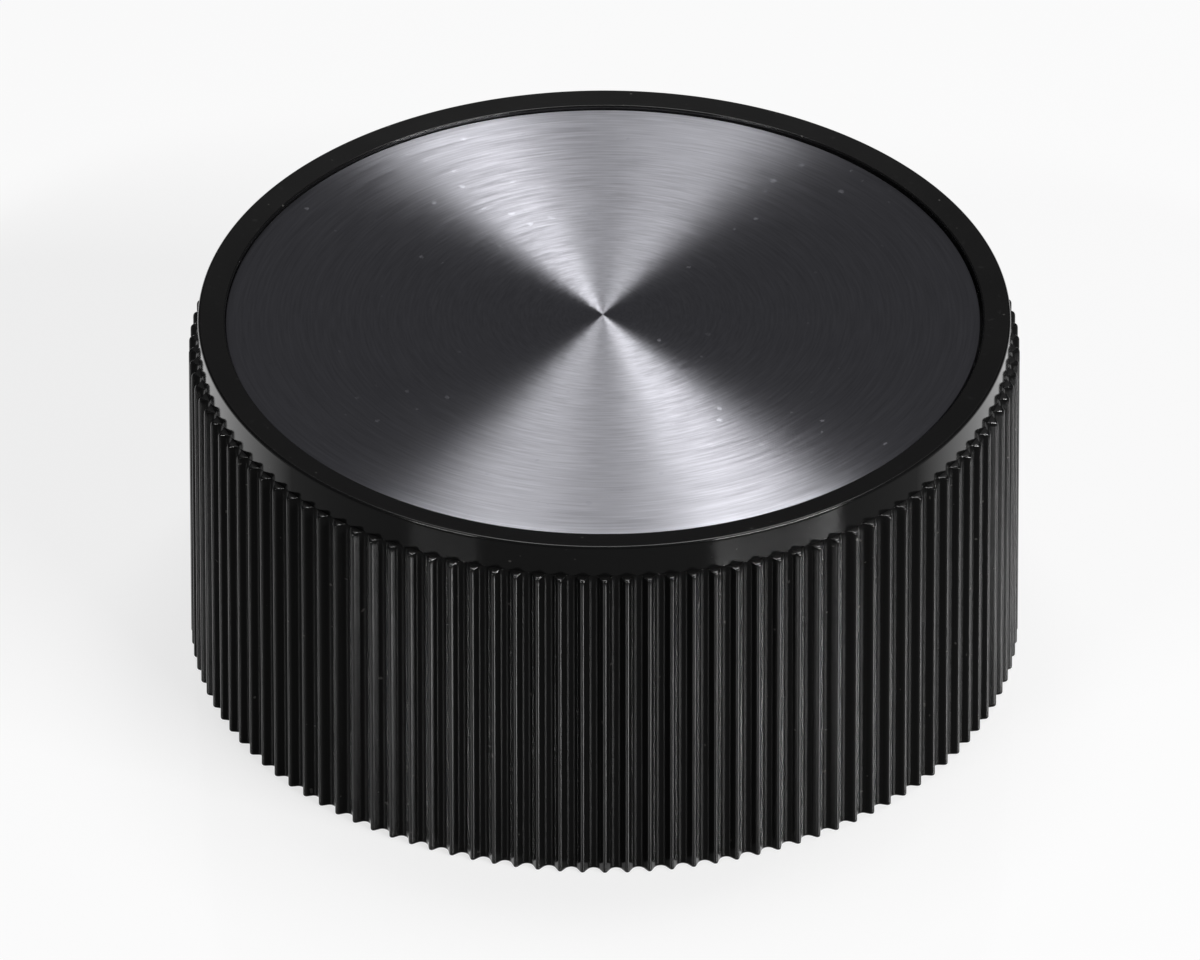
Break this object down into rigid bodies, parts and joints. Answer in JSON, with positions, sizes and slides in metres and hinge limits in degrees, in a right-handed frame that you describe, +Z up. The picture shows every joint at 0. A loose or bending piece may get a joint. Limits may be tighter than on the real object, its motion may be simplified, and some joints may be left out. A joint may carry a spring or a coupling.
{
  "type": "control knob",
  "caption": "Round push-on control knob with a finely ribbed black skirt, a smooth collar and a spun aluminium disc let into its top.",
  "frame": {"origin": "middle of the foot ring, on the shaft's axis", "axes": "+Z up along the shaft's axis, from the foot to the disc; the socket's flat faces -Y from the +Y side"},
  "size_m": [0.045, 0.045, 0.0203],
  "materials": {
    "black_plastic": "semi-gloss as moulded",
    "spun_aluminium": "spun, fine concentric lines",
    "adhesive": "matt film",
    "spring_steel": "bright strip"
  },
  "bodies": {
    "root": {"knob_body": "black_plastic", "inlay_disc": "spun_aluminium", "adhesive_film": "adhesive", "shaft_spring": "spring_steel"}
  },
  "joints": []
}
